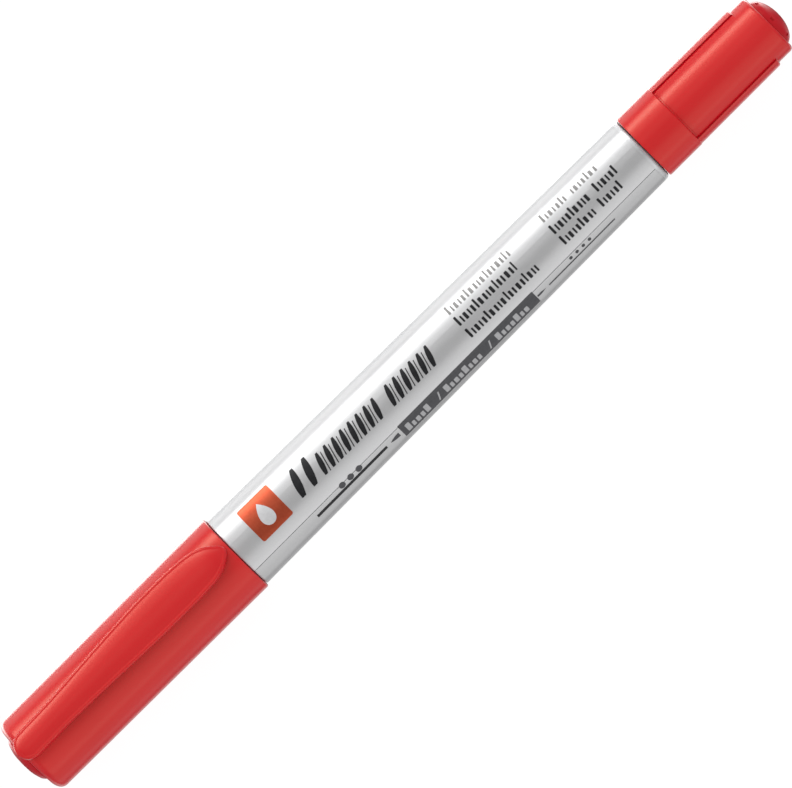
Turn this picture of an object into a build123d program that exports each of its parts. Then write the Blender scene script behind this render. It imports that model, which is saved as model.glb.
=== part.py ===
from build123d import *
import os
from math import sin, cos, tan, radians, degrees, sqrt, atan2, hypot, pi

os.makedirs("parts", exist_ok=True)

# ---------------------------------------------------------------------------
# Dual-tip calligraphy marker, both caps on, lying along X with its clip up.
# +X points to the fine nib and its small cap, -X to the broad nib and its
# large cap with the clip. Millimetres. The profiles are drawn about the
# marker's own axis and lifted by AXIS_Z, so that the large cap touches Z = 0.
# ---------------------------------------------------------------------------

# overall
HALF_LENGTH = 70.0          # dome of either inner cap to mid-length
AXIS_Z = 6.11               # largest radius of the large cap
TURN_SMALL = 12.5           # the small cap sits turned by this much, degrees
SEAM_ANGLE = 50.0           # film seam, degrees from +Z towards -Y

# barrel and film
BARREL_X0 = -30.36          # face that the large cap's mouth stops at
BARREL_X1 = 45.00           # rounded shoulder at the small cap
FILM_X0, FILM_X1 = -30.16, 44.15
FILM_R_REF, FILM_X_REF, FILM_SLOPE = 5.735, -28.8, -0.00854
FILM_T = 0.09               # film thickness
FILM_GLUE = 0.01            # adhesive under the film
BARREL_WALL = 1.0
SHOULDER_R = 0.65

# large cap
LC_MOUTH, LC_END = -30.46, -68.95
LC_R_MOUTH, LC_R_END = 6.11, 5.98
LC_BORE_R = 5.06
LC_HOLE_R = 3.70
LC_END_WALL = 1.3

# small cap
SC_MOUTH, SC_END = 45.08, 68.25
SC_RING_R, SC_RING_X1 = 5.14, 50.90
SC_BODY_R = 4.67
SC_RIB_R0, SC_RIB_R1, SC_RIB_X1 = 5.07, 5.03, 65.60
SC_RIB_Y = 4.27             # each rib's upright edge, from the cap's middle plane
SC_BORE_R = 4.50
SC_HOLE_R = 3.79
SC_END_WALL = 1.0

# necks and seals
BROAD_NECK_R, FINE_NECK_R = 5.00, 4.44
BROAD_SEAL_R, FINE_SEAL_R = 3.90, 3.00
SEAL_GAP = 0.06

# nibs
BROAD_TIP_X, BROAD_NIB_R, BROAD_TIP_R = -57.0, 1.30, 0.50
FINE_TIP_X, FINE_NIB_R, FINE_TIP_R = 62.8, 0.35, 0.20
FERRULE_R = 0.80

# reservoir
RES_X0, RES_X1, RES_R, WRAP_T = -19.0, 37.0, 3.70, 0.08


def film_r(x):
    return FILM_R_REF + FILM_SLOPE * (x - FILM_X_REF)


def barrel_r(x):
    return film_r(x) - FILM_T - FILM_GLUE


def edges_of(corners):
    """Closed outline of straight runs and tangent corner arcs.
    corners: (x, r, corner radius)."""
    n = len(corners)
    runs = []
    for i in range(n):
        px, py, _ = corners[i - 1]
        cx, cy, f = corners[i]
        nx, ny, _ = corners[(i + 1) % n]
        if f <= 0:
            runs.append(((cx, cy), None, (cx, cy)))
            continue
        a = (px - cx, py - cy)
        b = (nx - cx, ny - cy)
        la, lb = hypot(*a), hypot(*b)
        a = (a[0] / la, a[1] / la)
        b = (b[0] / lb, b[1] / lb)
        cosang = a[0] * b[0] + a[1] * b[1]
        half = 0.5 * atan2(abs(a[0] * b[1] - a[1] * b[0]), cosang)
        d = f / tan(half)
        start = (cx + a[0] * d, cy + a[1] * d)
        end = (cx + b[0] * d, cy + b[1] * d)
        bis = (a[0] + b[0], a[1] + b[1])
        lbis = hypot(*bis)
        m = f / sin(half) - f
        mid = (cx + bis[0] / lbis * m, cy + bis[1] / lbis * m)
        runs.append((start, mid, end))
    out = []
    for i in range(n):
        s, m, e = runs[i]
        if m is not None:
            out.append(ThreePointArc((s[0], 0, s[1]), (m[0], 0, m[1]), (e[0], 0, e[1])))
        q = runs[(i + 1) % n][0]
        if hypot(q[0] - e[0], q[1] - e[1]) > 1e-6:
            out.append(Line((e[0], 0, e[1]), (q[0], 0, q[1])))
    return out


def turned(corners):
    """Solid of revolution about the marker's axis."""
    face = make_face(edges_of(corners))
    return revolve(face, axis=Axis.X, revolution_arc=360)


def ring_cut(x0, x1, r0, r1):
    """Tube from radius r0 to r1."""
    return turned([(x0, r0, 0), (x1, r0, 0), (x1, r1, 0), (x0, r1, 0)])


def radial_box(x0, x1, r0, r1, width, angle):
    """Box from radius r0 to r1, turned to an angle from +Z towards -Y."""
    b = Box(x1 - x0, width, r1 - r0)
    b = Pos((x0 + x1) / 2, 0, (r0 + r1) / 2) * b
    return b.rotate(Axis.X, angle)


def put(shape, name):
    s = Pos(0, 0, AXIS_Z) * shape
    s.label = name
    export_step(s, os.path.join("parts", name + ".step"))
    return s


# ---------------------------------------------------------------- barrel
bx0, bx1 = BARREL_X0, BARREL_X1
bore = lambda x: barrel_r(x) - BARREL_WALL
barrel = turned([
    (bx0, bore(bx0), 0),
    (bx0, barrel_r(bx0) + 0.10, 0.15),
    (FILM_X0 - 0.02, film_r(FILM_X0), 0),
    (FILM_X0 - 0.02, barrel_r(FILM_X0), 0),
    (FILM_X1 + 0.02, barrel_r(FILM_X1), 0),
    (FILM_X1 + 0.02, film_r(FILM_X1), 0),
    (bx1, film_r(bx1), SHOULDER_R),
    (bx1, bore(bx1), 0),
])
# four ribs inside the bore keep the reservoir central
for a in (0, 90, 180, 270):
    rib = radial_box(RES_X0 + 2, RES_X1 - 2, RES_R + WRAP_T + 0.01, 4.60, 0.8, a)
    inside = turned([(RES_X0 + 2, 0, 0), (RES_X0 + 2, barrel_r(RES_X0 + 2) - 0.3, 0),
                     (RES_X1 - 2, barrel_r(RES_X1 - 2) - 0.3, 0), (RES_X1 - 2, 0, 0)])
    barrel = barrel + (rib & inside)
put(barrel, "barrel")

# ------------------------------------------------------------- label film
film = turned([
    (FILM_X0, film_r(FILM_X0) - FILM_T, 0),
    (FILM_X0, film_r(FILM_X0), 0),
    (FILM_X1, film_r(FILM_X1), 0),
    (FILM_X1, film_r(FILM_X1) - FILM_T, 0),
])
film = film - radial_box(FILM_X0 - 1, FILM_X1 + 1, 4.0, 7.0, 0.12, SEAM_ANGLE)
put(film, "barrel_label_film")

# ------------------------------------------------------- broad nib holder
H0 = BARREL_X0
broad_holder = turned([
    (H0 + 10.0, 1.34, 0),
    (H0 + 10.0, 4.00, 0),
    (H0 + 8.5, bore(H0 + 8.5) - 0.03, 0),
    (H0 - 0.02, bore(H0) - 0.03, 0),
    (H0 - 0.02, BROAD_NECK_R, 0.05),
    (H0 - 6.9, BROAD_NECK_R, 0.45),
    (H0 - 6.9, 4.35, 0.15),
    (H0 - 7.6, 4.20, 0),
    (H0 - 7.9, BROAD_SEAL_R, 0),
    (H0 - 11.2, BROAD_SEAL_R, 0.4),
    (-50.6, 2.05, 0.25),
    (-51.6, 1.95, 0.25),
    (-51.6, 1.34, 0),
])
put(broad_holder, "broad_nib_holder")

# --------------------------------------------------------------- broad nib
broad_nib = turned([
    (RES_X0 + 3.0, 0, 0),
    (RES_X0 + 3.0, 0.9, 0.2),
    (RES_X0 + 2.0, BROAD_NIB_R, 0.2),
    (-54.2, BROAD_NIB_R, 0.8),
    (-56.75, BROAD_TIP_R + 0.06, 0.35),
    (BROAD_TIP_X, 0.18, 0),
    (BROAD_TIP_X, 0, 0),
])
put(broad_nib, "broad_nib")

# -------------------------------------------------------- fine nib holder
G0 = BARREL_X1
fine_holder = turned([
    (G0 - 7.0, 0.97, 0),
    (G0 - 7.0, 3.50, 0),
    (G0 - 6.0, bore(G0 - 6.0) - 0.03, 0),
    (G0 + 0.02, bore(G0) - 0.03, 0),
    (G0 + 0.02, FINE_NECK_R, 0.05),
    (G0 + 5.7, FINE_NECK_R, 0.40),
    (G0 + 5.7, 3.45, 0.10),
    (G0 + 6.3, 3.30, 0),
    (G0 + 6.6, FINE_SEAL_R, 0),
    (G0 + 9.4, FINE_SEAL_R, 0.35),
    (58.4, 1.45, 0.20),
    (59.4, 1.35, 0.25),
    (59.4, FERRULE_R + 0.03, 0),
    (53.0, FERRULE_R + 0.03, 0),
    (53.0, 0.97, 0),
])
put(fine_holder, "fine_nib_holder")

# ------------------------------------------- fine nib sleeve, nib and wick
ferrule = turned([
    (53.3, FINE_NIB_R + 0.03, 0),
    (53.3, FERRULE_R, 0),
    (60.6, FERRULE_R, 0.15),
    (61.9, 0.52, 0.08),
    (61.9, FINE_NIB_R + 0.03, 0),
])
put(ferrule, "fine_nib_sleeve")

fine_nib = turned([
    (52.7, 0, 0),
    (52.7, FINE_NIB_R, 0.05),
    (62.2, FINE_NIB_R, 0.3),
    (62.72, FINE_TIP_R, 0.08),
    (FINE_TIP_X, 0.08, 0),
    (FINE_TIP_X, 0, 0),
])
put(fine_nib, "fine_nib")

wick = turned([
    (RES_X1 - 4.0, 0, 0),
    (RES_X1 - 4.0, 0.92, 0.2),
    (52.6, 0.92, 0.2),
    (52.6, 0, 0),
])
put(wick, "fine_relay_wick")

# --------------------------------------------------- reservoir and its wrap
core = turned([
    (RES_X0, BROAD_NIB_R + 0.02, 0),
    (RES_X0, RES_R, 0.4),
    (RES_X1, RES_R, 0.4),
    (RES_X1, 0.94, 0),
    (RES_X1 - 4.05, 0.94, 0),
    (RES_X1 - 4.05, 0, 0),
    (RES_X0 + 3.05, 0, 0),
    (RES_X0 + 3.05, BROAD_NIB_R + 0.02, 0),
])
put(core, "ink_reservoir_core")

wrap = turned([
    (RES_X0 + 0.6, RES_R + 0.005, 0),
    (RES_X0 + 0.6, RES_R + WRAP_T, 0),
    (RES_X1 - 0.6, RES_R + WRAP_T, 0),
    (RES_X1 - 0.6, RES_R + 0.005, 0),
])
put(wrap, "reservoir_wrap")

# -------------------------------------------------------------------- clip
# sections along the free arm, root to tip:
# x, half width, underside, side edge, crest (heights above the marker's axis)
CLIP = [
    (-62.50, 2.02, 6.40, 7.45, 7.80),
    (-58.00, 2.21, 6.95, 7.90, 8.29),
    (-53.00, 2.47, 7.48, 8.30, 8.72),
    (-48.00, 2.72, 7.86, 8.62, 9.07),
    (-43.50, 2.87, 8.03, 8.82, 9.28),
    (-40.00, 2.88, 7.98, 8.84, 9.30),
    (-37.00, 2.79, 7.70, 8.68, 9.13),
    (-35.00, 2.61, 7.32, 8.42, 8.85),
    (-33.60, 2.27, 6.90, 8.08, 8.46),
    (-32.50, 1.74, 6.52, 7.68, 7.99),
    (-31.70, 1.14, 6.32, 7.26, 7.49),
    (-31.15, 0.62, 6.30, 6.92, 7.06),
    (-30.91, 0.26, 6.38, 6.72, 6.79),
]
ROOT_X0 = -69.35


def clip_section(x, w, zb, ze, zc):
    return make_face([
        Line((x, -w, zb), (x, w, zb)),
        Line((x, w, zb), (x, w, ze)),
        ThreePointArc((x, w, ze), (x, 0, zc), (x, -w, ze)),
        Line((x, -w, ze), (x, -w, zb)),
    ])


clip = loft([clip_section(*row) for row in CLIP])
# end face stands a hair clear of the root block
clip = clip - Pos(-63.49, 0, 7) * Box(2, 8, 8)
put(clip, "large_cap_clip")

# ---------------------------------------------------------- large cap shell
shell = turned([
    (LC_MOUTH, LC_BORE_R, 0.12),
    (LC_MOUTH, LC_R_MOUTH, 0.32),
    (LC_END + 0.70, LC_R_END, 1.2),
    (LC_END + 0.03, 5.00, 1.8),
    (LC_END, LC_HOLE_R, 0.12),
    (LC_END + LC_END_WALL, LC_HOLE_R, 0),
    (LC_END + LC_END_WALL, 4.95, 0.4),
])
# raised root of the clip, moulded with the shell
root_plan = make_face([
    Line((-62.5, -2.02, 0), (-62.5, 2.02, 0)),
    Line((-62.5, 2.02, 0), (-67.3, 2.0, 0)),
    ThreePointArc((-67.3, 2.0, 0), (ROOT_X0, 0, 0), (-67.3, -2.0, 0)),
    Line((-67.3, -2.0, 0), (-62.5, -2.02, 0)),
])
root_prism = extrude(root_plan, amount=12)
ROOT = [
    (-62.50, 2.6, 5.40, 7.23, 7.80),
    (-65.00, 2.6, 5.40, 6.99, 7.56),
    (-67.30, 2.6, 5.40, 6.72, 7.28),
    (-68.60, 2.6, 5.40, 6.46, 6.98),
    (-69.60, 2.6, 5.40, 6.10, 6.55),
]
root = loft([clip_section(*row) for row in ROOT]) & root_prism
shell = shell + root
put(shell, "large_cap_shell")

# ------------------------------------------------------ large cap inner cap
inner = turned([
    (-HALF_LENGTH + 0.0, 0, 0),
    (-HALF_LENGTH + 0.10, 1.75, 4.0),
    (-HALF_LENGTH + 0.50, 3.10, 1.2),
    (-HALF_LENGTH + 0.95, 3.62, 0.35),
    (-66.2, 3.62, 0),
    (-66.2, 4.92, 0.15),
    (-65.0, 4.90, 0.15),
    (-65.0, 3.62, 0.15),
    (-47.5, 3.62, 0),
    (-45.5, 4.45, 0.4),
    (-38.6, 4.45, 0.15),
    (-38.6, BROAD_SEAL_R + SEAL_GAP, 0.12),
    (-44.0, BROAD_SEAL_R + SEAL_GAP, 0.4),
    (-46.6, 3.06, 0.4),
    (-67.2, 3.06, 0.5),
    (-67.2, 0, 0),
])
# air notches in the collar
for a in (45, 135, 225, 315):
    inner = inner - radial_box(-66.6, -64.6, 3.75, 5.6, 1.4, a)
put(inner, "large_cap_inner_cap")

# ---------------------------------------------------------- small cap shell
small = turned([
    (SC_MOUTH, SC_BORE_R, 0.10),
    (SC_MOUTH, SC_RING_R, 0.30),
    (SC_RING_X1, SC_RING_R, 0.08),
    (SC_RING_X1 + 0.10, SC_BODY_R, 0.0),
    (SC_END, SC_BODY_R, 0.55),
    (SC_END, SC_HOLE_R, 0.10),
    (SC_END - SC_END_WALL, SC_HOLE_R, 0),
    (SC_END - SC_END_WALL, 4.10, 0.0),
    (51.45, 4.12, 0),
    (50.85, SC_BORE_R, 0),
])
rib_ring = turned([
    (SC_RING_X1 - 0.6, 4.45, 0),
    (SC_RING_X1 - 0.6, SC_RIB_R0, 0),
    (SC_RIB_X1, SC_RIB_R1, 0.30),
    (SC_RIB_X1, 4.45, 0),
])
for side in (1, -1):
    half_space = Pos((SC_RING_X1 + SC_RIB_X1) / 2, side * (SC_RIB_Y + 2.0), 0) * Box(18, 4.0, 12)
    small = small + (rib_ring & half_space.rotate(Axis.X, TURN_SMALL))
put(small, "small_cap_shell")

# ------------------------------------------------------ small cap inner cap
A, B = 3.74, 2.10
dome = []
for k in range(0, 8):
    t = radians(90 * k / 7.0)
    dome.append((HALF_LENGTH - B + B * cos(t), A * sin(t)))
dome_curve = Spline(*[(x, 0, r) for x, r in dome],
                    tangents=[(0, 0, 1), (-1, 0, 0)])
xb = dome[-1][0]
rest = [(xb, A), (66.3, A), (66.3, 4.04), (65.3, 4.04), (65.3, 3.56), (54.8, 3.56),
        (54.0, 3.80), (51.75, 3.80), (51.75, FINE_SEAL_R + SEAL_GAP),
        (54.6, FINE_SEAL_R + SEAL_GAP), (55.2, 2.95), (68.1, 2.95), (68.1, 0),
        (HALF_LENGTH, 0)]
lines = [dome_curve]
for i in range(len(rest) - 1):
    lines.append(Line((rest[i][0], 0, rest[i][1]), (rest[i + 1][0], 0, rest[i + 1][1])))
inner2 = revolve(make_face(lines), axis=Axis.X, revolution_arc=360)
for a in (45, 135, 225, 315):
    inner2 = inner2 - radial_box(65.0, 66.6, 3.66, 4.6, 1.2, a)
for a in range(0, 360, 60):
    inner2 = inner2 - radial_box(68.75, 69.6, 3.08, 4.2, 0.55, a + 12)
put(inner2, "small_cap_inner_cap")
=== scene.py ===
import math
from math import sin, cos, tan, asin, radians, degrees, sqrt, atan2, hypot, pi

import bmesh
import bpy
from mathutils import Matrix, Vector


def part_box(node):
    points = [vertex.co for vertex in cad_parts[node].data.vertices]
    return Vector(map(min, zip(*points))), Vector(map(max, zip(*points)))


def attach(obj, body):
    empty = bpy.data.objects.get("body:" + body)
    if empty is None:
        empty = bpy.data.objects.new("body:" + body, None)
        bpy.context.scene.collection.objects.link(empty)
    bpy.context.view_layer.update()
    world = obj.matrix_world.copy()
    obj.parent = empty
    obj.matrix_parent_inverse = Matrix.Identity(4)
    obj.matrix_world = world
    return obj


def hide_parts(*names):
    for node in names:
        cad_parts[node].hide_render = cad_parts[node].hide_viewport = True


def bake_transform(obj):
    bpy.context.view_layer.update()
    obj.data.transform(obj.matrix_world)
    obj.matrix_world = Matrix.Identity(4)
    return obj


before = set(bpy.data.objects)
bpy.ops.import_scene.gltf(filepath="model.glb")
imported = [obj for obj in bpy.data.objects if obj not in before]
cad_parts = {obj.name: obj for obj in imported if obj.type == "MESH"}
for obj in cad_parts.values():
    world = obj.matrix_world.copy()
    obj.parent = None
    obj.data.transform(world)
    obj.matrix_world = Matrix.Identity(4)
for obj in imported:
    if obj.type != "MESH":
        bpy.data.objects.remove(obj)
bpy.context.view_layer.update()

MM = 0.001
_lo, _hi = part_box("barrel")
AXIS = (_lo.z + _hi.z) / 2          # height of the marker's axis, metres

# the direction that faces the camera, measured from +Z towards -Y
FACE = 12.5
# film surface: radius in mm at x mm


def film_r(x):
    return 5.735 - 0.00854 * (x + 28.8)


# --------------------------------------------------------------- node helpers
def new_mat(name):
    m = bpy.data.materials.new(name)
    m.use_nodes = True
    nt = m.node_tree
    nt.nodes.clear()
    out = nt.nodes.new("ShaderNodeOutputMaterial")
    bsdf = nt.nodes.new("ShaderNodeBsdfPrincipled")
    nt.links.new(bsdf.outputs[0], out.inputs[0])
    return m, nt, bsdf


def coords(nt, scale=(1, 1, 1)):
    tc = nt.nodes.new("ShaderNodeTexCoord")
    mp = nt.nodes.new("ShaderNodeMapping")
    mp.inputs["Scale"].default_value = scale
    nt.links.new(tc.outputs["Object"], mp.inputs["Vector"])
    return mp.outputs["Vector"]


def noise(nt, vec, scale, detail=3.0, rough=0.55, distort=0.0):
    n = nt.nodes.new("ShaderNodeTexNoise")
    n.inputs["Scale"].default_value = scale
    n.inputs["Detail"].default_value = detail
    n.inputs["Roughness"].default_value = rough
    n.inputs["Distortion"].default_value = distort
    nt.links.new(vec, n.inputs["Vector"])
    return n.outputs["Fac"]


def ramp(nt, fac, stops):
    r = nt.nodes.new("ShaderNodeValToRGB")
    els = r.color_ramp.elements
    while len(els) > 1:
        els.remove(els[-1])
    els[0].position = stops[0][0]
    els[0].color = stops[0][1]
    for p, c in stops[1:]:
        e = els.new(p)
        e.color = c
    nt.links.new(fac, r.inputs["Fac"])
    return r.outputs["Color"]


def remap(nt, fac, a0, a1, b0, b1):
    m = nt.nodes.new("ShaderNodeMapRange")
    m.inputs["From Min"].default_value = a0
    m.inputs["From Max"].default_value = a1
    m.inputs["To Min"].default_value = b0
    m.inputs["To Max"].default_value = b1
    nt.links.new(fac, m.inputs["Value"])
    return m.outputs["Result"]


def bump(nt, bsdf, height, strength, distance, socket="Normal", after=None):
    b = nt.nodes.new("ShaderNodeBump")
    b.inputs["Strength"].default_value = strength
    b.inputs["Distance"].default_value = distance
    nt.links.new(height, b.inputs["Height"])
    if after is not None:
        nt.links.new(after, b.inputs["Normal"])
    nt.links.new(b.outputs["Normal"], bsdf.inputs[socket])
    return b.outputs["Normal"]


def mixc(nt, fac, a, b, blend="MIX"):
    m = nt.nodes.new("ShaderNodeMix")
    m.data_type = "RGBA"
    m.blend_type = blend
    if isinstance(fac, float):
        m.inputs[0].default_value = fac
    else:
        nt.links.new(fac, m.inputs[0])
    for s, v in ((6, a), (7, b)):
        if isinstance(v, tuple):
            m.inputs[s].default_value = v
        else:
            nt.links.new(v, m.inputs[s])
    return m.outputs[2]


def edge_mask(nt):
    """1 on sharp outer edges, 0 on flats, from how the surface bends."""
    g = nt.nodes.new("ShaderNodeNewGeometry")
    return remap(nt, g.outputs["Pointiness"], 0.56, 0.66, 0.0, 0.7)


# ------------------------------------------------------------------ materials
def satin_plastic(name, base, dark, light, rough=(0.30, 0.34), spec=0.80, tint=(0.80, 0.68, 0.42), coat=0.26):
    """Moulded satin plastic: slow flow clouds, a fine eroded mould texture, paler worn edges."""
    m, nt, b = new_mat(name)
    cloud = noise(nt, coords(nt, (0.5, 1.0, 1.0)), 110.0, 4.0, 0.6)
    fine = noise(nt, coords(nt), 5200.0, 2.0, 0.6)
    col = ramp(nt, cloud, [(0.28, (*dark, 1)), (0.52, (*base, 1)), (0.78, (*light, 1))])
    g = nt.nodes.new("ShaderNodeNewGeometry")
    edge = remap(nt, g.outputs["Pointiness"], 0.62, 0.76, 0.0, 0.15)
    scuff = remap(nt, noise(nt, coords(nt), 900.0, 3.0, 0.7), 0.45, 0.65, 0.2, 1.0)
    mul = nt.nodes.new("ShaderNodeMath")
    mul.operation = "MULTIPLY"
    nt.links.new(edge, mul.inputs[0])
    nt.links.new(scuff, mul.inputs[1])
    worn = mixc(nt, mul.outputs[0], col, (min(1, light[0] * 1.10), light[1] * 2.0 + 0.012,
                                          light[2] * 2.0 + 0.010, 1))
    nt.links.new(worn, b.inputs["Base Color"])
    nt.links.new(remap(nt, cloud, 0.3, 0.7, rough[0], rough[1]), b.inputs["Roughness"])
    n1 = bump(nt, b, fine, 0.08, 0.008 * MM)
    bump(nt, b, cloud, 0.10, 0.02 * MM, after=n1)
    b.inputs["Specular IOR Level"].default_value = spec
    b.inputs["Specular Tint"].default_value = (*tint, 1)
    b.inputs["IOR"].default_value = 1.50
    b.inputs["Coat Weight"].default_value = coat
    b.inputs["Coat Roughness"].default_value = 0.23
    b.inputs["Coat IOR"].default_value = 1.50
    return m


RED = satin_plastic("cap_red", (0.580, 0.0014, 0.0120), (0.560, 0.0009, 0.0105),
                    (0.600, 0.0022, 0.0135))
DEEP = satin_plastic("inner_cap_red", (0.455, 0.0022, 0.0130), (0.425, 0.0016, 0.0115),
                     (0.485, 0.0030, 0.0145), spec=0.36, coat=0.0)


def silver_film():
    m, nt, b = new_mat("film_silver")
    v = coords(nt)
    flake = noise(nt, v, 9000.0, 1.0, 0.5)
    cloud = noise(nt, coords(nt, (1.0, 3.0, 3.0)), 60.0, 3.0, 0.55)
    col = ramp(nt, cloud, [(0.3, (0.695, 0.695, 0.702, 1)), (0.7, (0.730, 0.730, 0.736, 1))])
    spark = mixc(nt, remap(nt, flake, 0.45, 0.75, 0.0, 0.35), col, (0.82, 0.82, 0.825, 1))
    nt.links.new(spark, b.inputs["Base Color"])
    b.inputs["Specular Tint"].default_value = (0.50, 0.50, 0.50, 1)       # darker at a grazing look
    b.inputs["Metallic"].default_value = 0.68
    nt.links.new(remap(nt, cloud, 0.3, 0.7, 0.33, 0.36), b.inputs["Roughness"])
    bump(nt, b, flake, 0.10, 0.004 * MM)
    b.inputs["Specular IOR Level"].default_value = 0.5
    return m


SILVER = silver_film()


def silver_plastic():
    m, nt, b = new_mat("barrel_silver")
    v = coords(nt)
    cloud = noise(nt, v, 200.0, 3.0, 0.55)
    fine = noise(nt, v, 6000.0, 2.0, 0.6)
    col = ramp(nt, cloud, [(0.3, (0.725, 0.728, 0.738, 1)), (0.7, (0.765, 0.768, 0.776, 1))])
    nt.links.new(col, b.inputs["Base Color"])
    b.inputs["Metallic"].default_value = 0.68
    nt.links.new(remap(nt, fine, 0.3, 0.7, 0.33, 0.39), b.inputs["Roughness"])
    bump(nt, b, fine, 0.2, 0.01 * MM)
    return m


BARREL = silver_plastic()


def ink_print(name, colour, light=None, rough=0.345, metallic=0.0, spec=0.6):
    """Screen-printed ink on the film: slightly uneven density, satin."""
    m, nt, b = new_mat(name)
    n = noise(nt, coords(nt), 2600.0, 3.0, 0.6)
    light = light or tuple(min(1.0, c * 1.2 + 0.006) for c in colour)
    col = ramp(nt, n, [(0.35, (*colour, 1)), (0.7, (*light, 1))])
    nt.links.new(col, b.inputs["Base Color"])
    b.inputs["Metallic"].default_value = metallic
    nt.links.new(remap(nt, n, 0.3, 0.7, rough - 0.02, rough + 0.03), b.inputs["Roughness"])
    bump(nt, b, n, 0.08, 0.003 * MM)
    b.inputs["Specular IOR Level"].default_value = spec
    return m


INK_BLACK = ink_print("ink_black", (0.009, 0.009, 0.011), spec=0.42)
# black ink painted pale grey: a painted highlight for the upper print rows, where the barrel's bright reflection
# band crosses them
INK_BLACK_PAINTED_HIGHLIGHT = ink_print("ink_black_painted_highlight", (0.21, 0.205, 0.20))
INK_GREY = ink_print("ink_grey", (0.045, 0.045, 0.050))
INK_ORANGE = ink_print("ink_orange", (0.570, 0.086, 0.036), (0.610, 0.108, 0.046), metallic=0.72)
INK_DIM = ink_print("ink_dim", (0.40, 0.40, 0.41), (0.46, 0.46, 0.47), metallic=0.3)
INK_PALE = ink_print("ink_pale", (0.60, 0.60, 0.61), (0.66, 0.66, 0.67), metallic=0.3)


def charcoal_plastic():
    m, nt, b = new_mat("holder_grey")
    v = coords(nt)
    cloud = noise(nt, v, 260.0, 3.0, 0.55)
    fine = noise(nt, v, 5000.0, 2.0, 0.6)
    turn = noise(nt, coords(nt, (30.0, 0.5, 0.5)), 120.0, 2.0, 0.5)
    col = ramp(nt, cloud, [(0.3, (0.020, 0.020, 0.022, 1)), (0.7, (0.030, 0.030, 0.033, 1))])
    nt.links.new(mixc(nt, edge_mask(nt), col, (0.07, 0.07, 0.075, 1)), b.inputs["Base Color"])
    nt.links.new(remap(nt, turn, 0.3, 0.7, 0.30, 0.42), b.inputs["Roughness"])
    n1 = bump(nt, b, fine, 0.2, 0.01 * MM)
    bump(nt, b, turn, 0.15, 0.01 * MM, after=n1)
    return m


def fibre(name, colour, light, stretch=(0.06, 1.0, 1.0), scale=5200.0):
    m, nt, b = new_mat(name)
    v = coords(nt, stretch)
    n = noise(nt, v, scale, 3.0, 0.65)
    n2 = noise(nt, coords(nt), 700.0, 3.0, 0.6)
    col = ramp(nt, n, [(0.3, (*colour, 1)), (0.72, (*light, 1))])
    nt.links.new(mixc(nt, remap(nt, n2, 0.35, 0.7, 0.0, 0.5), col, (*colour, 1)), b.inputs["Base Color"])
    nt.links.new(remap(nt, n, 0.3, 0.7, 0.72, 0.9), b.inputs["Roughness"])
    bump(nt, b, n, 0.5, 0.03 * MM)
    b.inputs["Sheen Weight"].default_value = 0.15
    return m


def steel():
    m, nt, b = new_mat("sleeve_steel")
    n = noise(nt, coords(nt, (40.0, 1.0, 1.0)), 700.0, 3.0, 0.6)
    col = ramp(nt, n, [(0.3, (0.58, 0.575, 0.56, 1)), (0.7, (0.68, 0.675, 0.66, 1))])
    nt.links.new(col, b.inputs["Base Color"])
    b.inputs["Metallic"].default_value = 1.0
    nt.links.new(remap(nt, n, 0.3, 0.7, 0.22, 0.34), b.inputs["Roughness"])
    bump(nt, b, n, 0.15, 0.004 * MM)
    return m


HOLDER = charcoal_plastic()
NIB = fibre("nib_fibre", (0.46, 0.010, 0.018), (0.62, 0.035, 0.04))
CORE = fibre("core_fibre", (0.50, 0.05, 0.06), (0.66, 0.12, 0.12), scale=2600.0)
STEEL = steel()


def wrap_material():
    m, nt, b = new_mat("wrap_film")
    n = noise(nt, coords(nt), 300.0, 3.0, 0.5)
    col = ramp(nt, n, [(0.3, (0.74, 0.72, 0.72, 1)), (0.7, (0.82, 0.80, 0.80, 1))])
    nt.links.new(col, b.inputs["Base Color"])
    nt.links.new(remap(nt, n, 0.3, 0.7, 0.15, 0.25), b.inputs["Roughness"])
    return m


WRAP = wrap_material()


# -------------------------------------------------------------- mesh helpers
def make_piece(name, verts, faces, mat, body, weighted=True, sharp=None, ride=True,
               loose=False):
    """verts in mm about the marker's axis. Returns the object."""
    me = bpy.data.meshes.new(name)
    me.from_pydata([(x * MM, y * MM, z * MM + AXIS) for x, y, z in verts], [], faces)
    me.validate()
    bm = bmesh.new()
    bm.from_mesh(me)
    bmesh.ops.remove_doubles(bm, verts=bm.verts, dist=1e-7)
    bmesh.ops.recalc_face_normals(bm, faces=bm.faces)
    bm.to_mesh(me)
    bm.free()
    me.update()
    for p in me.polygons:
        p.use_smooth = True
    if sharp is not None:
        me.set_sharp_from_angle(angle=radians(sharp))
    me.materials.append(mat)
    ob = bpy.data.objects.new(name, me)
    bpy.context.scene.collection.objects.link(ob)
    if weighted:
        w = ob.modifiers.new("even_normals", "WEIGHTED_NORMAL")
        w.keep_sharp = True
        w.weight = 60
    if ride:
        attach(ob, body)
    return ob


def rounded(corners, n=7):
    """Closed outline (x, r) with its corners rounded. corners: (x, r, radius)."""
    out = []
    k = len(corners)
    for i in range(k):
        px, py = corners[i - 1][:2]
        cx, cy, f = corners[i]
        nx, ny = corners[(i + 1) % k][:2]
        if f <= 0:
            out.append((cx, cy))
            continue
        a = Vector((px - cx, py - cy)).normalized()
        b = Vector((nx - cx, ny - cy)).normalized()
        half = a.angle(b) / 2
        d = f / tan(half)
        c = Vector((cx, cy)) + (a + b).normalized() * (f / sin(half))
        s = Vector((cx, cy)) + a * d
        e = Vector((cx, cy)) + b * d
        a0 = atan2(s.y - c.y, s.x - c.x)
        a1 = atan2(e.y - c.y, e.x - c.x)
        da = (a1 - a0 + pi) % (2 * pi) - pi
        for j in range(n + 1):
            t = a0 + da * j / n
            out.append((c.x + f * cos(t), c.y + f * sin(t)))
    return out


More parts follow.
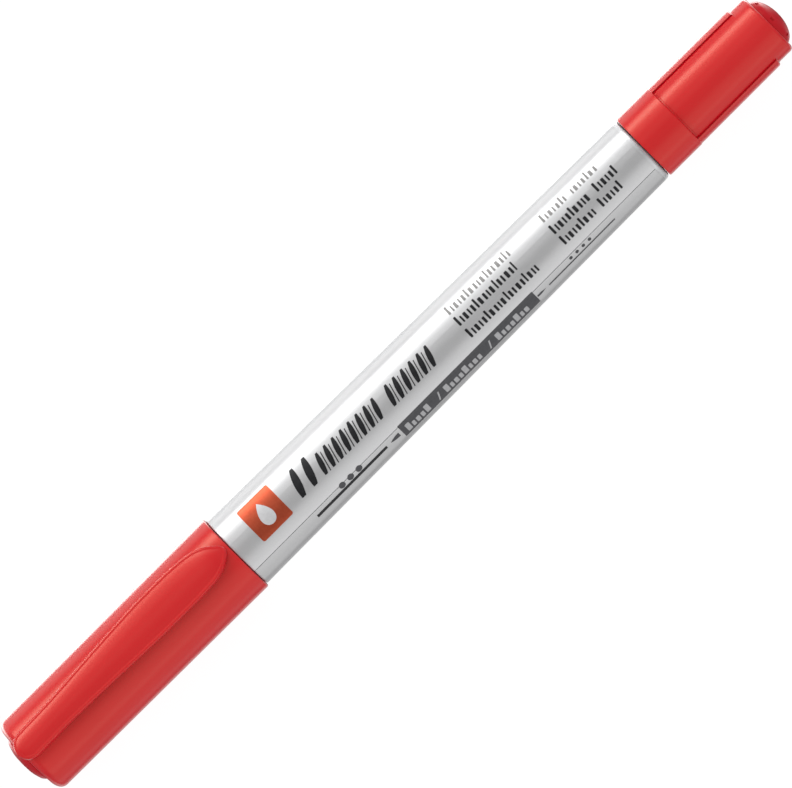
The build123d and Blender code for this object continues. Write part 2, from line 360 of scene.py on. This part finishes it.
def lathe(outline, seg=160, closed=True):
    """Verts and faces of a closed outline (x, r) turned about the axis."""
    verts, faces, rings = [], [], []
    for x, r in outline:
        if r < 1e-6:
            rings.append([len(verts)] * seg)
            verts.append((x, 0.0, 0.0))
        else:
            rings.append(list(range(len(verts), len(verts) + seg)))
            for k in range(seg):
                a = 2 * pi * k / seg
                verts.append((x, -r * sin(a), r * cos(a)))
    m = len(rings)
    for i in range(m if closed else m - 1):
        p, q = rings[i], rings[(i + 1) % m]
        for k in range(seg):
            k2 = (k + 1) % seg
            f = [p[k], p[k2], q[k2], q[k]]
            f = [v for j, v in enumerate(f) if v != f[j - 1]]
            if len(set(f)) >= 3:
                faces.append(f)
    return verts, faces


def subdivide_runs(outline, step):
    """Extra points on long straight runs, so that shading stays even."""
    out = []
    k = len(outline)
    for i in range(k):
        a, b = outline[i], outline[(i + 1) % k]
        out.append(a)
        n = int(hypot(b[0] - a[0], b[1] - a[1]) / step)
        for j in range(1, n + 1):
            t = j / (n + 1)
            out.append((a[0] + (b[0] - a[0]) * t, a[1] + (b[1] - a[1]) * t))
    return out


# ------------------------------------------------------------ large cap shell
shell_outline = rounded([
    (-30.46, 5.06, 0.12),
    (-30.46, 6.11, 0.22),
    (-68.25, 5.98, 1.20),
    (-68.92, 5.00, 1.80),
    (-68.95, 3.70, 0.12),
    (-67.65, 3.70, 0.0),
    (-67.65, 4.95, 0.40),
])
v, f = lathe(subdivide_runs(shell_outline, 3.0), 200)
shell = make_piece("large_cap_outer_shell", v, f, RED, "large_cap")
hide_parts("large_cap_shell")


# ----------------------------------------------------------------------- clip
def lerp_table(table, x, col):
    """Smooth (monotone cubic) read of a table whose first column is x, rising."""
    n = len(table)
    if x <= table[0][0]:
        return table[0][col]
    if x >= table[-1][0]:
        return table[-1][col]
    slopes = [(table[i + 1][col] - table[i][col]) / (table[i + 1][0] - table[i][0]) for i in range(n - 1)]
    tang = [slopes[0]] + [0.0 if slopes[i - 1] * slopes[i] <= 0 else
                          2 * slopes[i - 1] * slopes[i] / (slopes[i - 1] + slopes[i])
                          for i in range(1, n - 1)] + [slopes[-1]]
    for i in range(n - 1):
        x0, x1 = table[i][0], table[i + 1][0]
        if x0 <= x <= x1:
            h = x1 - x0
            t = (x - x0) / h
            return ((2 * t**3 - 3 * t**2 + 1) * table[i][col] + (t**3 - 2 * t**2 + t) * h * tang[i]
                    + (-2 * t**3 + 3 * t**2) * table[i + 1][col] + (t**3 - t**2) * h * tang[i + 1])
    return table[-1][col]


# x, half width, underside, side edge, crest
CLIP = [
    (-69.35, 0.10, 5.45, 6.20, 6.42),
    (-68.60, 1.50, 5.45, 6.52, 6.95),
    (-67.30, 2.00, 5.45, 6.74, 7.24),
    (-65.00, 2.01, 5.50, 7.02, 7.52),
    (-62.50, 2.02, 6.20, 7.32, 7.79),
    (-58.00, 2.21, 6.97, 7.80, 8.27),
    (-53.00, 2.47, 7.50, 8.22, 8.71),
    (-48.00, 2.72, 7.88, 8.54, 9.05),
    (-43.50, 2.87, 8.05, 8.74, 9.26),
    (-40.00, 2.88, 8.00, 8.76, 9.28),
    (-37.00, 2.79, 7.72, 8.60, 9.11),
    (-35.00, 2.61, 7.34, 8.34, 8.83),
    (-33.60, 2.27, 6.92, 8.00, 8.44),
    (-32.50, 1.74, 6.54, 7.62, 7.96),
    (-31.70, 1.14, 6.34, 7.20, 7.45),
    (-31.15, 0.62, 6.32, 6.86, 7.02),
    (-30.92, 0.20, 6.40, 6.68, 6.76),
]


def clip_half(x):
    if x < -67.3:
        t = min(1.0, (-67.3 - x) / 2.05)
        return max(0.05, 2.0 * sqrt(max(0.0, 1 - t * t)))
    return lerp_table(CLIP, x, 1)


RIM = 0.10            # the clip's border stands this much above its crown
RIM_IN, RIM_OUT = 0.50, 0.22


def clip_section(x, w, zb, ze, zc, slope, n_top=40):
    """Closed loop of points round the clip at x: rounded edges, raised border, crowned top.
    slope is the outline's dw/dx, which tells how far a point is from the edge."""
    r = min(0.08, 0.35 * w, 0.30 * (ze - zb))
    k = 1.0 / sqrt(1.0 + slope * slope)
    zlow = ze - RIM                                     # where the crown would meet the edge
    h = max(1e-3, zc - zlow)
    rad = (w * w + h * h) / (2 * h)
    cz = zc - rad

    def top(y):
        z = cz + sqrt(max(0.0, rad * rad - y * y))
        s_ = (w - abs(y)) * k
        t = min(1.0, max(0.0, (s_ - RIM_OUT) / (RIM_IN - RIM_OUT)))
        fade = min(1.0, w / 0.5)
        z += RIM * (1 - t * t * (3 - 2 * t)) * fade
        if s_ < r:                                      # rounded outer edge
            z -= r - sqrt(max(0.0, r * r - (r - s_) ** 2))
        return z

    pts = []
    for j in range(7):                                  # underside, slightly hollow
        t = -1 + 2 * j / 6
        pts.append((t * (w - r), zb + 0.10 * (1 - t * t) * min(1, w / 2)))
    for j in range(1, 4):                               # lower edges
        a = radians(-90 + 90 * j / 4)
        pts.append((w - r + r * cos(a), zb + r + r * sin(a)))
    # top, from the +y side to the -y side: points at set distances from both edges, so
    # that the border runs smoothly along the clip, and even steps in between
    near = [c * min(1.0, w * k / 0.80) / k for c in
            (0.0, 0.012, 0.035, 0.070, 0.110, 0.150, 0.190, 0.235, 0.285, 0.335, 0.385, 0.435, 0.490, 0.560)]
    inner = w - near[-1]
    ys = [w - c for c in near]
    ys += [inner * (1 - 2 * j / 16) for j in range(1, 16)]
    ys += [-(w - c) for c in reversed(near)]
    pts += [(y, top(y)) for y in ys]
    for j in range(3, 0, -1):
        a = radians(-90 + 90 * j / 4)
        pts.append((-(w - r + r * cos(a)), zb + r + r * sin(a)))
    return pts


def stations():
    xs = []
    n = 16
    for k in range(n):                                   # round root end
        t = k / n
        xs.append(-67.3 - 2.04 * cos(pi / 2 * t))
    n = 44
    for k in range(n):
        xs.append(-67.3 + (67.3 - 36.0) * k / n)
    n = 34
    for k in range(n + 1):
        t = k / n
        xs.append(-36.0 + (36.0 - 30.92) * sin(pi / 2 * t))
    return xs


def build_clip():
    verts, faces, rings = [], [], []
    for x in stations():
        w = clip_half(x)
        slope = (clip_half(x + 0.02) - clip_half(x - 0.02)) / 0.04
        sec = clip_section(x, w, *[lerp_table(CLIP, x, c) for c in (2, 3, 4)], slope)
        rings.append(list(range(len(verts), len(verts) + len(sec))))
        verts += [(x, y, z) for y, z in sec]
    m = len(rings[0])
    for a, b in zip(rings, rings[1:]):
        for k in range(m):
            faces.append([a[k], a[(k + 1) % m], b[(k + 1) % m], b[k]])
    faces.append(list(reversed(rings[0])))
    faces.append(rings[-1])
    return verts, faces


v, f = build_clip()
clip = make_piece("pocket_clip", v, f, RED, None, ride=False)
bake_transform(clip)
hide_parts("large_cap_clip")


# ------------------------------------------------------------ small cap shell
def small_cap_mesh():
    """Outer wall with two long raised sides, open at the mouth and at the end hole."""
    turn = radians(FACE)
    ring_x1, rib_x1 = 50.90, 65.60
    body_r, ring_r, rib_y = 4.67, 5.14, 4.27

    def rib_r(x):
        return 5.07 - 0.04 * (x - ring_x1) / (rib_x1 - ring_x1)

    # section of the body with its sides: angles from the facing line, paired with
    # the radius as a share (0 body, 1 raised side); both edges of each side are upright
    a_low, a_high = degrees(asin(rib_y / body_r)), degrees(asin(rib_y / 5.07))
    ang, share = [], []

    def quarter():
        """From the facing line (or the far line) round to one side: a soft hollow leads
        up to the upright edge of the raised side, whose own edge is rounded."""
        out = []
        crease = 0.50

        def upright(share_):
            r = body_r + (5.07 - body_r) * share_
            return degrees(asin(rib_y / r))

        a_c = upright(crease)
        foot = a_c - 12.0
        n = 36
        for k in range(n + 1):
            out.append((foot * k / n, 0.0))
        for k in range(1, 10):
            t = k / 9
            out.append((foot + (a_c - 0.02 - foot) * t, crease * t ** 1.8))
        out.append((upright(0.70), 0.70))
        out.append((upright(0.86), 0.86))
        out.append((a_high + 0.60, 0.945))
        out.append((a_high + 1.40, 0.98))
        out.append((a_high + 2.60, 1.0))
        m = 18
        for k in range(1, m + 1):
            out.append((a_high + 2.60 + (90 - a_high - 2.60) * k / m, 1.0))
        # third value: the angle on a round row, evenly spread where the wall stands,
        # as the upright wall's own angles would fold back on themselves there
        k0, k1 = n, n + 9 + 5
        return [(a, s_, a if k <= k0 or k >= k1 else foot + (out[k1][0] - foot) * (k - k0) / (k1 - k0))
                for k, (a, s_) in enumerate(out)]

    q = quarter()
    loop = []
    loop += q                                                               # 0 .. 90
    loop += [(180 - a, s_, 180 - b) for a, s_, b in reversed(q)][1:]        # 90 .. 180
    loop += [(180 + a, s_, 180 + b) for a, s_, b in q][1:]                  # 180 .. 270
    loop += [(360 - a, s_, 360 - b) for a, s_, b in reversed(q)][1:-1]      # 270 .. 360

    rows = []
    for x, r in rounded([(45.02, 4.6, 0), (45.02, ring_r, 0.20), (47.0, ring_r, 0), (47.0, 4.6, 0)])[1:-2]:
        rows.append((x, r, r))
    for x in (46.0, 47.0, 48.0, 49.0, 50.0, 50.55):
        rows.append((x, ring_r, ring_r))
    for k in range(7):                                          # soft far edge of the ring
        a = pi / 2 * k / 6
        rows.append((ring_x1 - 0.16 + 0.16 * sin(a), ring_r - 0.16 + 0.16 * cos(a),
                     ring_r - 0.07 + 0.07 * cos(a)))
    rows.append((ring_x1 + 0.03, body_r - 0.03, rib_r(ring_x1)))
    rows.append((ring_x1 + 0.08, body_r - 0.06, rib_r(ring_x1)))
    rows.append((ring_x1 + 0.20, body_r - 0.06, rib_r(ring_x1)))
    rows.append((ring_x1 + 0.27, body_r - 0.03, rib_r(ring_x1)))
    rows.append((ring_x1 + 0.36, body_r, rib_r(ring_x1)))
    x = ring_x1 + 1.2
    while x < rib_x1 - 1.0:
        rows.append((x, body_r, rib_r(x)))
        x += 1.0
    n = 10
    for k in range(n + 1):                                      # rounded end of the sides
        a = pi / 2 * k / n
        xx = rib_x1 - 0.36 + 0.36 * sin(a)
        rows.append((xx, body_r, body_r + (rib_r(xx) - body_r) * cos(a) ** 0.8 if k < n else body_r + 0.02))
    rows.append((rib_x1 + 0.10, body_r, body_r))
    for xx in (66.2, 66.8):
        rows.append((xx, body_r, body_r))
    for x, r in rounded([(67.2, 4.0, 0), (67.2, body_r, 0), (68.25, body_r, 0.55), (68.25, 3.79, 0.10),
                         (67.25, 3.79, 0), (67.25, 4.10, 0), (51.45, 4.12, 0), (50.85, 4.50, 0),
                         (45.02, 4.50, 0.10)])[2:]:
        rows.append((x, r, r))
    verts, faces, rings = [], [], []
    for x, r0, r1 in rows:
        ring = []
        stand = min(1.0, max(0.0, (r1 - r0) / (rib_r(x) - body_r)))
        for a, s_, a_round in loop:
            r = r0 + (r1 - r0) * s_
            t = radians(a_round + (a - a_round) * stand) + turn
            ring.append(len(verts))
            verts.append((x, -r * sin(t), r * cos(t)))
        rings.append(ring)
    m = len(loop)
    for i in range(len(rings)):
        a, b = rings[i], rings[(i + 1) % len(rings)]
        for k in range(m):
            faces.append([a[k], a[(k + 1) % m], b[(k + 1) % m], b[k]])
    return verts, faces


v, f = small_cap_mesh()
small = make_piece("small_cap_outer_shell", v, f, RED, "small_cap")
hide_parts("small_cap_shell")


# ------------------------------------------------------- CAD nodes that stay
def paint(node, mat):
    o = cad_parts[node]
    o.data.materials.clear()
    o.data.materials.append(mat)
    for p in o.data.polygons:
        p.material_index = 0


for node, mat in (("barrel", BARREL), ("barrel_label_film", SILVER), ("broad_nib_holder", HOLDER),
                  ("broad_nib", NIB), ("fine_nib_holder", HOLDER), ("fine_nib_sleeve", STEEL),
                  ("fine_nib", NIB), ("fine_relay_wick", CORE), ("ink_reservoir_core", CORE),
                  ("reservoir_wrap", WRAP), ("large_cap_inner_cap", DEEP),
                  ("small_cap_inner_cap", DEEP)):
    paint(node, mat)


# ---------------------------------------------------------------- the print
PRINT_T = 0.012


def wrap_point(x, theta, h):
    """Point at x mm, theta degrees from the facing line (positive towards -Y), h mm
    above the film."""
    r = film_r(x) + h
    a = radians(FACE + theta)
    return (x, -r * sin(a), r * cos(a))


def decal(name, shapes, mat, body="barrel", base=0.0):
    """Thin printed patches. shapes: outlines [(x mm, theta deg), ...], simple and convex
    enough to fill; each is cut into narrow strips so that it follows the barrel."""
    bm = bmesh.new()
    for outline in shapes:
        vs = [bm.verts.new((x, t, 0)) for x, t in outline]
        bm.faces.new(vs)
    bmesh.ops.triangulate(bm, faces=bm.faces[:])
    ts = [v.co.y for v in bm.verts]
    t = math.floor(min(ts) / 2.5) * 2.5 + 2.5
    while t < max(ts):
        geom = bm.verts[:] + bm.edges[:] + bm.faces[:]
        bmesh.ops.bisect_plane(bm, geom=geom, plane_co=(0, t, 0), plane_no=(0, 1, 0), dist=1e-6)
        t += 2.5
    bmesh.ops.recalc_face_normals(bm, faces=bm.faces[:])
    for f_ in bm.faces:
        if f_.normal.z < 0:
            f_.normal_flip()
    top = [f_ for f_ in bm.faces]
    verts = {v: i for i, v in enumerate(bm.verts)}
    n = len(verts)
    coords_out = [None] * (2 * n)
    for v_, i in verts.items():
        coords_out[i] = wrap_point(v_.co.x, v_.co.y, base + PRINT_T)
        coords_out[i + n] = wrap_point(v_.co.x, v_.co.y, -0.02)
    faces = []
    for f_ in top:
        ids = [verts[v_] for v_ in f_.verts]
        faces.append(ids)
        faces.append([i + n for i in reversed(ids)])
    for e in bm.edges:
        if len(e.link_faces) == 1:
            a, b = verts[e.verts[0]], verts[e.verts[1]]
            faces.append([a, b, b + n, a + n])
    bm.free()
    me = bpy.data.meshes.new(name)
    me.from_pydata([(x * MM, y * MM, z * MM + AXIS) for x, y, z in coords_out], [], faces)
    me.validate()
    b2 = bmesh.new()
    b2.from_mesh(me)
    bmesh.ops.recalc_face_normals(b2, faces=b2.faces[:])
    b2.to_mesh(me)
    b2.free()
    # the printed face takes the film's own smooth normals: flat strips of 2.5 degrees
    for p in me.polygons:
        p.use_smooth = True
    me.set_sharp_from_angle(angle=radians(40))
    me.materials.append(mat)
    ob = bpy.data.objects.new(name, me)
    bpy.context.scene.collection.objects.link(ob)
    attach(ob, body)
    return ob


def bar(x0, x1, t0, t1):
    return [(x0, t0), (x1, t0), (x1, t1), (x0, t1)]


def round_bar(x0, x1, t0, t1, r_mm=0.35, n=5):
    """Rounded rectangle; r in mm along x, matching arc in degrees."""
    k = degrees(1 / film_r((x0 + x1) / 2))
    rt = r_mm * k
    pts = []
    for cx, ct, a0 in ((x1 - r_mm, t1 - rt, 0), (x0 + r_mm, t1 - rt, 90), (x0 + r_mm, t0 + rt, 180),
                       (x1 - r_mm, t0 + rt, 270)):
        for j in range(n + 1):
            a = radians(a0 + 90 * j / n)
            pts.append((cx + r_mm * cos(a), ct + rt * sin(a)))
    return pts


def disc(x, t, r_mm, n=28, squash=1.0):
    k = degrees(1 / film_r(x))
    return [(x + r_mm * cos(2 * pi * i / n), t + squash * r_mm * k * sin(2 * pi * i / n)) for i in range(n)]


# plain orange square with a pale drop on it: the colour mark of the marker
decal("print_square", [round_bar(-26.70, -21.25, -39.2, 17.0, 0.30)], INK_ORANGE)


def drop_outline(x, t, r, n=36):
    k = degrees(1 / film_r(x))
    pts = []
    for i in range(n):
        a = 2 * pi * i / n
        s = r * (1 - 0.42 * cos(a)) * 1.0
        px = -cos(a) * r * 1.0
        py = sin(a) * r * (0.78 * sin(a / 2))
        pts.append((x + py, t + px * k))
    return pts


decal("print_drop", [drop_outline(-23.98, -10.0, 1.75)], INK_PALE, base=0.004)

# title: a row of slanted pen strokes, thick and thin by turns, as drawn with the pen
strokes = []


def leaf(x, t0, t1, w, slant=0.9, n=10):
    """Slanted stroke standing on t1 (lower) and rising to t0, swelling in the middle."""
    left, right = [], []
    for k in range(n + 1):
        v = k / n
        half = w / 2 * (0.30 + 0.70 * sin(pi * min(1.0, 0.10 + 0.86 * v)) ** 0.8)
        xc = x + w / 2 + slant * v
        t = t1 + (t0 - t1) * v
        left.append((xc - half, t))
        right.append((xc + half, t))
    strokes.append(left + right[::-1])


x = -19.3
leaf(x, -28.5, 11.5, 1.15, 1.15)
leaf(x + 2.15, -28.5, 11.5, 1.15, 1.15)
x += 4.35
for count in (8, 6):
    for k in range(count):
        leaf(x, -19.5, 11.5, 0.78, 0.85)
        if k < count - 1:
            strokes.append([(x + 1.02, 11.5), (x + 1.16, 11.5), (x + 1.86, -16.0), (x + 1.72, -16.0)])
        x += 1.46
    x += 1.05
decal("print_title", strokes, INK_BLACK)

# line samples: thick for the broad nib, thin for the fine nib
decal("print_line_broad", [round_bar(-19.40, -6.48, 45.9, 51.1, 0.06, 2)], INK_BLACK)
decal("print_line_fine", [bar(23.57, 35.80, 49.6, 52.0)], INK_GREY)
decal("print_dots_broad", [disc(-14.2 + 1.55 * i, 39.8, 0.50) for i in range(3)], INK_GREY)
decal("print_dots_fine", [disc(28.1 + 1.15 * i, 43.2, 0.26, 18) for i in range(4)], INK_GREY)

# nib signs beside the strip
decal("print_nib_broad", [[(-5.75, 48.4), (-5.35, 46.3), (-4.75, 44.9), (-4.15, 44.4), (-4.15, 52.4),
                           (-4.75, 51.9), (-5.35, 50.5)]], INK_GREY)
decal("print_nib_fine", [[(21.45, 48.9), (22.10, 48.6), (22.95, 50.5), (22.10, 52.6), (21.45, 52.3)]], INK_GREY)

# dark strip with pale dashes
decal("print_strip", [bar(-3.70, 21.30, 35.6, 64.0)], INK_GREY)
dashes = []
for x0, x1 in ((-2.95, 1.90), (4.15, 11.35), (13.75, 19.65)):
    x = x0
    i = 0
    while x < x1 - 0.5:
        w = (0.72, 0.50, 0.62, 0.55)[i % 4]
        tall = 43.0 if (i % 4 == 0) else 48.0
        dashes.append(round_bar(x, min(x1, x + w), tall, 59.0, 0.12, 3))
        x += w + 0.26
        i += 1
for xc in (2.95, 12.45):
    dashes.append([(xc - 0.25, 59.5), (xc - 0.02, 59.5), (xc + 0.45, 43.0), (xc + 0.22, 43.0)])
decal("print_strip_dashes", dashes, INK_DIM, base=0.004)


# small print: rows of plain blocks
def block_row(x0, x1, t0, t1, tall, seed):
    """Blocks between x0 and x1, standing on t1; t0 is their top and tall the taller top."""
    out, x, i = [], x0, seed
    while x < x1 - 0.25:
        w = (0.46, 0.34, 0.58, 0.34, 0.50, 0.40, 0.62)[i % 7]
        w = min(w, x1 - x)
        top = tall if i % 5 == 0 else t0
        out.append(round_bar(x, x + 0.78 * w, top, t1, 0.09, 2))
        x += w + (0.21 if i % 3 else 0.27)
        i += 1
    return out


# the upper rows are black print with a painted highlight: their ink is painted pale grey
rows_painted_highlight = block_row(11.5, 22.9, -36.0, -25.0, -40.5, 0) + block_row(28.8, 33.2, -34.5, -24.6, -39.3, 0) \
    + block_row(34.2, 39.1, -34.5, -24.6, -39.3, 1)
rows_dark = block_row(11.5, 22.2, -14.0, -3.0, -18.6, 0) + block_row(11.5, 24.2, 9.5, 20.2, 4.6, 0) \
    + block_row(28.8, 35.7, -11.5, -0.4, -15.8, 0) + block_row(36.7, 40.8, -11.5, -0.4, -15.8, 0) \
    + block_row(28.8, 34.9, 10.4, 21.0, 5.6, 0) + block_row(35.8, 39.75, 10.4, 21.0, 5.6, 0)
decal("print_rows_upper", rows_painted_highlight, INK_BLACK_PAINTED_HIGHLIGHT)
decal("print_rows_lower", rows_dark, INK_BLACK)

# --------------------------------------------------------------------- stage
floor_me = bpy.data.meshes.new("floor")
floor_me.from_pydata([(-6, -6, 0), (6, -6, 0), (6, 6, 0), (-6, 6, 0)], [], [(0, 1, 2, 3)])
floor = bpy.data.objects.new("floor", floor_me)
bpy.context.scene.collection.objects.link(floor)
m, nt, b = new_mat("light_table")
n = noise(nt, coords(nt), 40.0, 3.0, 0.5)
nt.links.new(ramp(nt, n, [(0.3, (0.075, 0.075, 0.075, 1)), (0.7, (0.085, 0.085, 0.085, 1))]), b.inputs["Base Color"])
b.inputs["Roughness"].default_value = 0.9
b.inputs["Specular IOR Level"].default_value = 0.1
b.inputs["Emission Color"].default_value = (1.0, 1.0, 1.0, 1)
b.inputs["Emission Strength"].default_value = 0.95
m.cycles.emission_sampling = "NONE"
floor_me.materials.append(m)

# ------------------------------------------------------------ camera frame
A_FACE = radians(FACE)
TO_CAM = Vector((0, -sin(A_FACE), cos(A_FACE)))
UP_LEFT = Vector((0, cos(A_FACE), sin(A_FACE)))
AXIS_AT = lambda x: Vector((x * MM, 0, AXIS))


def light(name, angle, dist, size_x, size_y, power, x=0.0, colour=(1, 1, 1), glossy=True):
    """Soft box whose middle lies angle degrees from the facing direction, up-left positive."""
    a = radians(angle)
    away = TO_CAM * cos(a) + UP_LEFT * sin(a)
    ld = bpy.data.lights.new(name, "AREA")
    ld.shape = "RECTANGLE"
    ld.size, ld.size_y = size_x, size_y
    ld.energy = power
    ld.color = colour
    lo = bpy.data.objects.new(name, ld)
    bpy.context.scene.collection.objects.link(lo)
    pos = AXIS_AT(x) + away * dist
    z = away
    xax = Vector((1, 0, 0))
    yax = z.cross(xax).normalized()
    lo.matrix_world = Matrix.Translation(pos) @ Matrix((xax, yax, z)).transposed().to_4x4()
    lo.visible_camera = False
    lo.visible_glossy = glossy
    return lo


light("soft_key", 60, 1.2, 1.4, 0.9, 5.0, glossy=False)

# light tent: a large cylinder about the marker's axis that only reflections see.
# (angle from the facing direction, up-left positive, radiance)
TENT = [(-180, 0.14), (-177, 0.07), (-171, 0.30), (-165, 0.65), (-159, 0.95), (-153, 0.85),
        (-147, 0.44), (-141, 0.12), (-135, 0.03), (-129, 0.22), (-123, 0.61), (-117, 0.75),
        (-111, 0.49), (-105, 0.30), (-99, 0.55), (-93, 0.70), (-87, 0.37), (-81, 0.42),
        (-75, 1.06), (-69, 1.20), (-63, 0.76), (-57, 0.60), (-51, 0.72), (-45, 0.71),
        (-39, 0.62), (-33, 0.49), (-27, 0.30), (-21, 0.12), (-15, 0.16), (-9, 0.29),
        (-3, 0.16), (3, 0.10), (9, 0.29), (15, 0.51), (21, 0.61), (27, 0.46), (33, 0.33),
        (39, 0.72), (45, 1.13), (51, 0.89), (57, 0.90), (63, 3.00), (69, 5.52), (75, 5.56),
        (81, 2.19), (87, 0.12), (93, 0.03), (99, 0.49), (105, 1.26), (111, 1.35), (117, 1.02),
        (123, 1.53), (129, 1.16), (135, 0.13), (141, 0.27), (147, 3.12), (153, 5.52),
        (159, 5.22), (165, 3.12), (171, 0.81), (177, 0.21), (180, 0.14)]
TENT_ENDS = 0.25


def tent():
    radius, half = 1.5, 2.6
    verts, faces, lum = [], [], []
    seg = 180
    rows = ((-half, 0.22), (-1.5, 0.30), (-0.70, 1.0), (0.70, 1.0), (1.5, 0.30), (half, 0.22))
    for x, share in rows:
        for k in range(seg):
            ang = -180 + 360.0 * k / seg
            a = radians(ang)
            d = TO_CAM * cos(a) + UP_LEFT * sin(a)
            p = AXIS_AT(0) + d * radius
            verts.append((x, p.y, p.z))
            for (a0, v0), (a1, v1) in zip(TENT, TENT[1:]):
                if a0 <= ang <= a1:
                    lum.append(share * (v0 + (v1 - v0) * (ang - a0) / (a1 - a0)))
                    break
    for i in range(len(rows) - 1):
        for k in range(seg):
            k2 = (k + 1) % seg
            faces.append((i * seg + k, i * seg + k2, (i + 1) * seg + k2, (i + 1) * seg + k))
    for x in (-half, half):
        base = len(verts)
        for k in range(seg):
            p = verts[k]
            verts.append((x, p[1], p[2]))
            lum.append(TENT_ENDS)
        faces.append(tuple(range(base, base + seg)))
    me = bpy.data.meshes.new("light_tent")
    me.from_pydata(verts, [], faces)
    at = me.attributes.new("radiance", "FLOAT", "POINT")
    at.data.foreach_set("value", lum)
    ob = bpy.data.objects.new("light_tent", me)
    bpy.context.scene.collection.objects.link(ob)
    m = bpy.data.materials.new("light_tent")
    m.use_nodes = True
    nt = m.node_tree
    nt.nodes.clear()
    out = nt.nodes.new("ShaderNodeOutputMaterial")
    em = nt.nodes.new("ShaderNodeEmission")
    an = nt.nodes.new("ShaderNodeAttribute")
    an.attribute_name = "radiance"
    nt.links.new(an.outputs["Fac"], em.inputs["Strength"])
    nt.links.new(em.outputs[0], out.inputs[0])
    m.cycles.emission_sampling = "NONE"
    me.materials.append(m)
    ob.visible_camera = False
    ob.visible_diffuse = False
    ob.visible_transmission = False
    ob.visible_volume_scatter = False
    ob.visible_shadow = False


tent()
floor.visible_glossy = False

w = bpy.data.worlds.new("studio")
bpy.context.scene.world = w
w.use_nodes = True
w.node_tree.nodes["Background"].inputs[0].default_value = (1.0, 1.0, 1.0, 1)
w.node_tree.nodes["Background"].inputs[1].default_value = 0.98
w.cycles_visibility.glossy = False

# ------------------------------------------------------------------- camera
DIST = 2.6
ROLL = radians(44.85)
PX_PER_MM = 7.61
target = AXIS_AT(-0.845) - UP_LEFT * (0.067 * MM)
cam_pos = AXIS_AT(45.0) + TO_CAM * DIST
fwd = (target - cam_pos).normalized()
back = -fwd
e1 = (Vector((1, 0, 0)) - back * back.x).normalized()
e2 = back.cross(e1).normalized()
right = e1 * cos(ROLL) - e2 * sin(ROLL)
up = e1 * sin(ROLL) + e2 * cos(ROLL)
cd = bpy.data.cameras.new("camera")
cd.sensor_width = 36.0
cd.lens = 36.0 * (target - cam_pos).length / (792 / PX_PER_MM * MM)
cd.clip_start, cd.clip_end = 0.1, 50.0
cam = bpy.data.objects.new("camera", cd)
bpy.context.scene.collection.objects.link(cam)
cam.matrix_world = Matrix.Translation(cam_pos) @ Matrix((right, up, back)).transposed().to_4x4()
bpy.context.scene.camera = cam

bpy.context.scene.view_settings.view_transform = "Standard"
bpy.context.scene.view_settings.look = "None"
